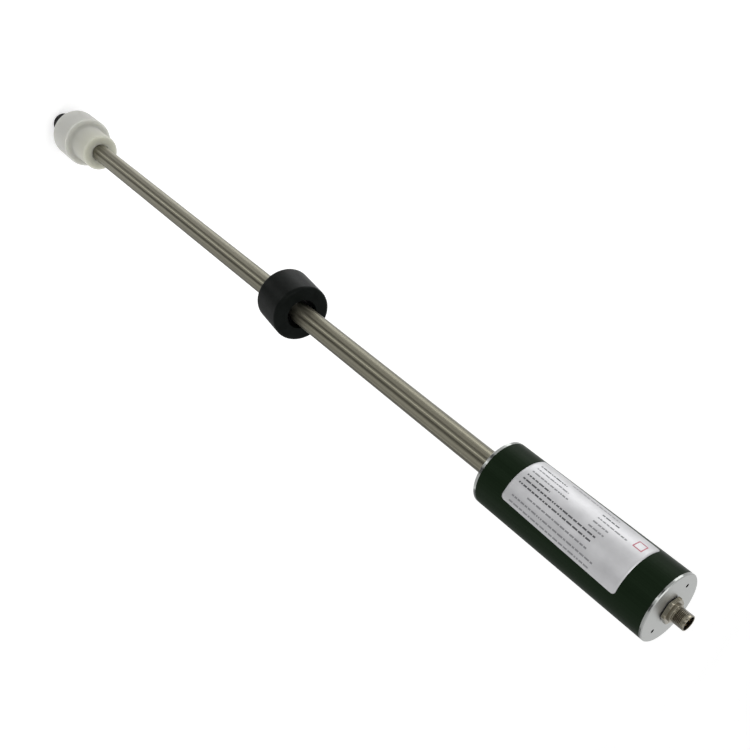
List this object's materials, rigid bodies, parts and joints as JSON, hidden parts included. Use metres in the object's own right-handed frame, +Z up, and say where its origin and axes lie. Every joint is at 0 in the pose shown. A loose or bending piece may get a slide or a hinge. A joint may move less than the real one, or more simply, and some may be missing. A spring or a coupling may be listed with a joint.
{
  "type": "automatic tank gauge",
  "caption": "Tank level gauge: round black housing with a plug connector over a straight steel stem, a loose black ring float on it and a white plastic boot with a rubber foot.",
  "frame": {"origin": "centre of the rubber foot's underside, where the gauge meets the tank bottom", "axes": "+Z up the stem towards the connector, +X along the line of the two spanner holes, label on the -Y side"},
  "size_m": [0.0603, 0.0603, 0.9894],
  "materials": {
    "housing_anodised": "black-green anodised, satin",
    "cap_aluminium": "bead-blasted, clear anodised",
    "label_foil": "silver polyester foil, satin",
    "stem_steel": "drawn and polished along its length",
    "fastener_steel": "bright",
    "boot_plastic": "natural white, slightly translucent",
    "float_foam": "satin black",
    "foot_rubber": "matt black",
    "seal_rubber": "black",
    "plated_brass": "nickel plated",
    "contact_gold": "gold plated",
    "core_plastic": "black, glass filled",
    "magnet": "nickel plated",
    "resin": "black potting resin",
    "copper": "enamelled copper",
    "silicone": "red silicone",
    "sleeve_plastic": "translucent white",
    "waveguide_alloy": "drawn wire",
    "strip_film": "amber film",
    "carrier_plastic": "black, moulded",
    "board_laminate": "green solder mask",
    "chip_black": "moulded epoxy",
    "can_aluminium": "drawn can",
    "transformer_core": "ferrite and tape",
    "terminal_green": "moulded",
    "wire_insulation": "insulated wire"
  },
  "bodies": {
    "probe": {"foot": "foot_rubber", "boot": "boot_plastic", "boot_set_screw": "fastener_steel", "stem_tube": "stem_steel", "stem_end_plug": "stem_steel", "stem_flange": "stem_steel", "stem_flange_screws": "fastener_steel", "stem_o_ring": "seal_rubber", "housing_tube": "housing_anodised", "top_cap": "cap_aluminium", "bottom_cap": "cap_aluminium", "top_cap_o_ring": "seal_rubber", "bottom_cap_o_ring": "seal_rubber", "label": "label_foil", "connector_seal": "seal_rubber", "connector_shell": "plated_brass", "connector_insert": "core_plastic", "connector_pins": "contact_gold", "connector_lock_nut": "plated_brass", "pickup_head": "carrier_plastic", "pickup_bobbin": "sleeve_plastic", "pickup_coil": "copper", "pickup_leads": "copper", "bias_magnet": "magnet", "head_damper": "silicone", "tip_damper": "silicone", "waveguide_wire": "waveguide_alloy", "waveguide_sleeve": "sleeve_plastic", "return_wire": "copper", "sleeve_spacers": "silicone", "sensor_strip": "strip_film", "temperature_sensors": "chip_black", "board_carrier": "carrier_plastic", "main_board": "board_laminate", "board_screws": "fastener_steel", "processor": "chip_black", "interface_chips": "chip_black", "capacitors": "can_aluminium", "isolation_transformer": "transformer_core", "terminal_block": "terminal_green", "signal_wires": "wire_insulation"},
    "float": {"float_body": "float_foam", "float_magnets": "magnet", "float_magnet_plugs": "resin"}
  },
  "joints": [
    {"name": "float_slide", "type": "slide", "parent": "probe", "child": "float", "axis": [0, 0, 1], "range_m": [-0.3987, 0.2563]}
  ]
}
